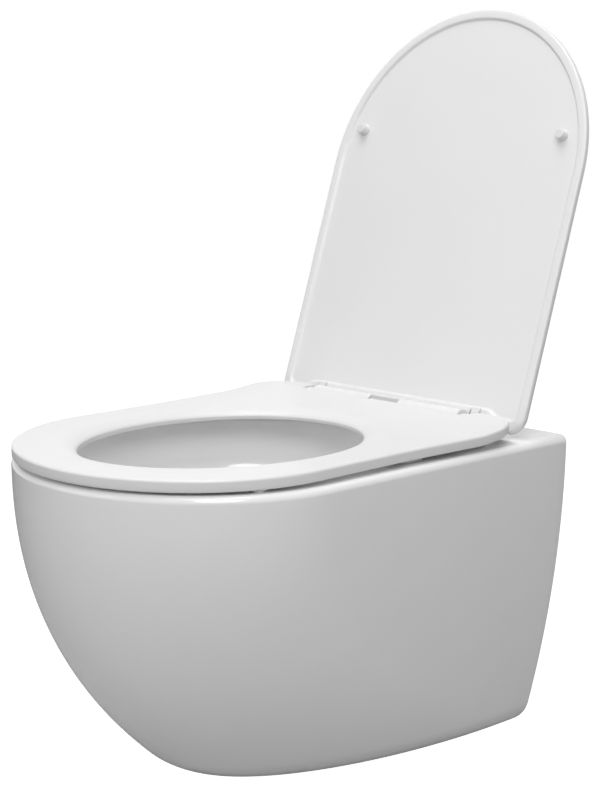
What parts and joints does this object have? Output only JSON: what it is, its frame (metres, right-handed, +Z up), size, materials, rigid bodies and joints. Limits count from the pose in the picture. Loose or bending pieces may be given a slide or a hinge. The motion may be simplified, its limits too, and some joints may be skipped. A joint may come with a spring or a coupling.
{
  "type": "wall-hung toilet",
  "caption": "Wall-hung skirted toilet pan with a slim soft-close seat, a slim lid standing open and a quick-release hinge bar.",
  "frame": {"origin": "middle of the two wall studs, on the wall", "axes": "+Y into the wall, +Z up; the pan's nose points along -Y"},
  "size_m": [0.356, 0.5681, 0.7155],
  "materials": {
    "china": "white glazed sanitary china",
    "duroplast": "glossy white duroplast",
    "white_plastic": "satin white plastic",
    "grey_nylon": "matt grey nylon",
    "grey_rubber": "matt grey rubber",
    "clear_rubber": "translucent whitish rubber",
    "stainless": "brushed stainless steel",
    "spring_steel": "drawn spring wire",
    "zinc_steel": "zinc-plated steel"
  },
  "bodies": {
    "pan": {"pan": "china", "wall_bracket_left": "zinc_steel", "wall_bracket_right": "zinc_steel", "bearing_pads": "grey_rubber", "deck_sleeves": "grey_nylon", "hinge_bolts": "stainless", "post_gaskets": "clear_rubber", "post_discs": "stainless", "hinge_posts": "stainless"},
    "hinge_unit": {"hinge_bar": "white_plastic", "hinge_base_plate": "white_plastic", "base_plate_screws": "stainless", "damper_left": "grey_nylon", "damper_right": "grey_nylon", "button_spring": "spring_steel"},
    "button": {"release_button": "white_plastic"},
    "latch_l": {"latch_left": "grey_nylon"},
    "latch_r": {"latch_right": "grey_nylon"},
    "seat": {"seat": "duroplast", "seat_buffers": "clear_rubber", "shaft_right": "stainless"},
    "lid": {"lid": "duroplast", "lid_buffers": "clear_rubber", "shaft_left": "stainless"}
  },
  "joints": [
    {"name": "lift_off", "type": "slide", "parent": "pan", "child": "hinge_unit", "axis": [0, 0, 1], "range_m": [0, 0.03]},
    {"name": "seat_hinge", "type": "hinge", "parent": "hinge_unit", "child": "seat", "pos_m": [0, -0.066, 0.0932], "axis": [-1, 0, 0], "range_deg": [0, 103]},
    {"name": "lid_hinge", "type": "hinge", "parent": "hinge_unit", "child": "lid", "pos_m": [0, -0.066, 0.0932], "axis": [-1, 0, 0], "range_deg": [-109.1, 0]},
    {"name": "button_press", "type": "slide", "parent": "hinge_unit", "child": "button", "axis": [0, 0, -1], "range_m": [0, 0.003], "stiffness_N_per_m": 800, "springref_m": -0.002, "deforming": ["button_spring"]},
    {"name": "latch_slide_left", "type": "slide", "parent": "hinge_unit", "child": "latch_l", "axis": [1, 0, 0], "range_m": [0, 0.003]},
    {"name": "latch_slide_right", "type": "slide", "parent": "hinge_unit", "child": "latch_r", "axis": [-1, 0, 0], "range_m": [0, 0.003]}
  ],
  "couplings": [
    {"joint": "latch_slide_left", "follows": "button_press", "ratio": 1},
    {"joint": "latch_slide_right", "follows": "button_press", "ratio": 1}
  ]
}
